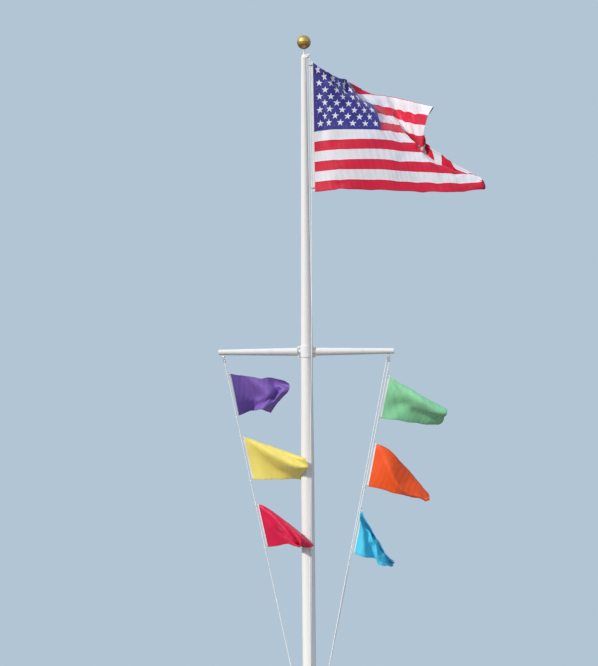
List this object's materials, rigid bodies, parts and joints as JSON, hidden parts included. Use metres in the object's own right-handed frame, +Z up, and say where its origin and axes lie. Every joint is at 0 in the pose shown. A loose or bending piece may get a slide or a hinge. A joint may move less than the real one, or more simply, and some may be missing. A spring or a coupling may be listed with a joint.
{
  "type": "flagpole with yard and flags",
  "caption": "Tapered flagpole with a gold ball, a two-armed yard, three taut halyards, a large ensign and small coloured flags.",
  "frame": {"origin": "centre of the pole's foot, on the ground", "axes": "+Z up the pole, +X along the yard towards the flags' fly ends, -Y towards the viewer of the picture"},
  "size_m": [2.505, 0.6704, 7.7949],
  "materials": {
    "pole_paint": "white gloss paint",
    "cast_metal": "satin cast aluminium",
    "sheave": "nylon sheave",
    "steel": "stainless steel",
    "gold": "gold anodised",
    "rope": "braided white rope",
    "heading_tape": "white canvas",
    "snap_metal": "bronze, dulled",
    "ensign_cloth": "sewn nylon in red, white and blue",
    "purple_cloth": "nylon",
    "yellow_cloth": "nylon",
    "red_cloth": "nylon",
    "green_cloth": "nylon",
    "orange_cloth": "nylon",
    "blue_cloth": "nylon"
  },
  "bodies": {
    "pole": {"arm_cap_left": "pole_paint", "arm_cap_right": "pole_paint", "arm_stub_left": "cast_metal", "arm_stub_right": "cast_metal", "ball_spindle": "pole_paint", "block_pin_left": "steel", "block_pin_right": "steel", "block_shell_left": "steel", "block_shell_right": "steel", "blue_flag": "blue_cloth", "butt_plate": "cast_metal", "ensign": "ensign_cloth", "ensign_heading": "heading_tape", "ensign_snap_lower": "snap_metal", "ensign_snap_upper": "snap_metal", "finial_ball": "gold", "flag_clips_left": "snap_metal", "flag_clips_right": "snap_metal", "flash_collar": "pole_paint", "green_flag": "green_cloth", "left_cleat": "cast_metal", "left_halyard": "rope", "main_cleat": "cast_metal", "main_halyard": "rope", "orange_flag": "orange_cloth", "pole_tube": "pole_paint", "purple_flag": "purple_cloth", "red_flag": "red_cloth", "right_cleat": "cast_metal", "right_halyard": "rope", "screw_eye_left": "steel", "screw_eye_right": "steel", "truck_cap": "pole_paint", "truck_pin": "steel", "yard_arm_left": "pole_paint", "yard_arm_right": "pole_paint", "yard_clamp_front": "pole_paint", "yard_clamp_rear": "pole_paint", "yellow_flag": "yellow_cloth"},
    "truck_sheave": {"truck_sheave": "sheave"},
    "block_sheave_left": {"block_sheave_left": "sheave"},
    "block_sheave_right": {"block_sheave_right": "sheave"}
  },
  "joints": [
    {"name": "truck_sheave_spin", "type": "hinge", "parent": "pole", "child": "truck_sheave", "pos_m": [0.03884, -0.03751, 7.59], "axis": [-0.6947, -0.7193, 0], "continuous": true},
    {"name": "block_sheave_left_spin", "type": "hinge", "parent": "pole", "child": "block_sheave_left", "pos_m": [-0.77259, 0, 4.70929], "axis": [0.9788, 0, 0.2047], "continuous": true},
    {"name": "block_sheave_right_spin", "type": "hinge", "parent": "pole", "child": "block_sheave_right", "pos_m": [0.76787, 0, 4.70923], "axis": [0, -1, 0], "continuous": true}
  ]
}
